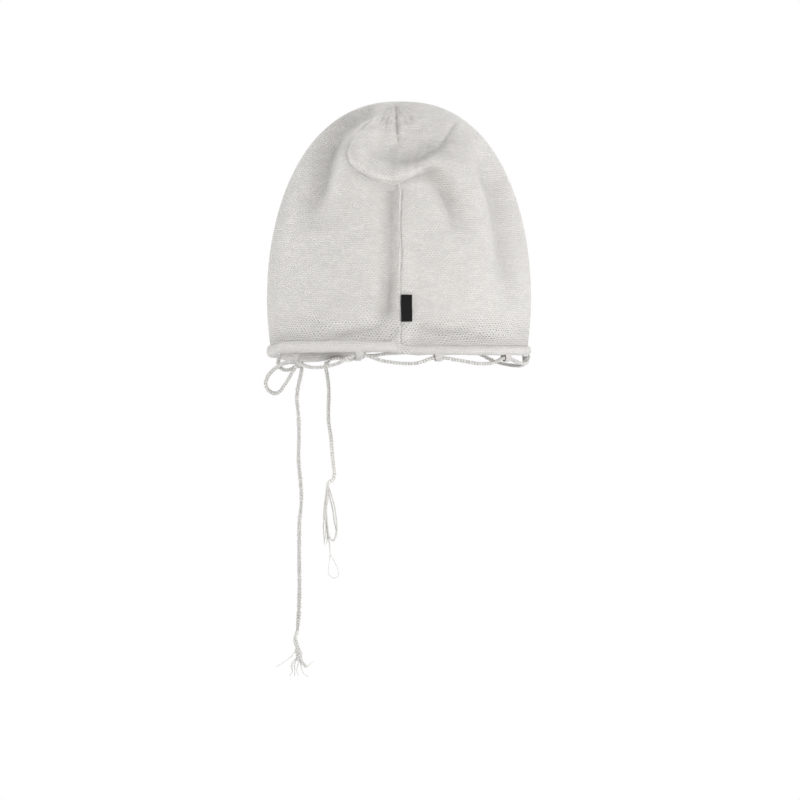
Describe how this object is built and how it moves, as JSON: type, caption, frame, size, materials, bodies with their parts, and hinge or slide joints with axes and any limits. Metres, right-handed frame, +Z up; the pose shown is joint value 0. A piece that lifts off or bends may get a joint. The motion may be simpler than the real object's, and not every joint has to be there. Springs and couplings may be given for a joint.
{
  "type": "knit beanie with drawcord",
  "caption": "Slouchy fine mesh-knit beanie with a slumped crown, rolled hem, side tab and a drawcord tied in a bow with two hanging ends.",
  "frame": {"origin": "centre of the head opening, in the plane of the hem's underside at the back", "axes": "+Z up along the head, -Y towards the back of the hat with its seam and tab, +X to the right when the back is looked at"},
  "size_m": [0.2172, 0.1601, 0.4682],
  "materials": {
    "knit": "off-white fine mesh knit, matt",
    "cord": "off-white twisted cotton yarn, matt",
    "tab": "black woven tape, matt"
  },
  "bodies": {
    "root": {"knit_body": "knit", "rolled_hem": "knit", "side_tab": "tab", "bow_knot": "cord", "rim_cord": "cord", "cord_carrier_1": "knit", "cord_carrier_2": "knit", "cord_carrier_3": "knit", "cord_carrier_4": "knit", "cord_carrier_5": "knit", "cord_carrier_6": "knit", "cord_carrier_7": "knit", "bow_loop": "cord", "bow_loop_small": "cord", "knot_keeper": "knit", "tie_long": "cord", "frayed_end": "cord", "tie_short": "cord", "yarn_loops": "cord"}
  },
  "joints": []
}
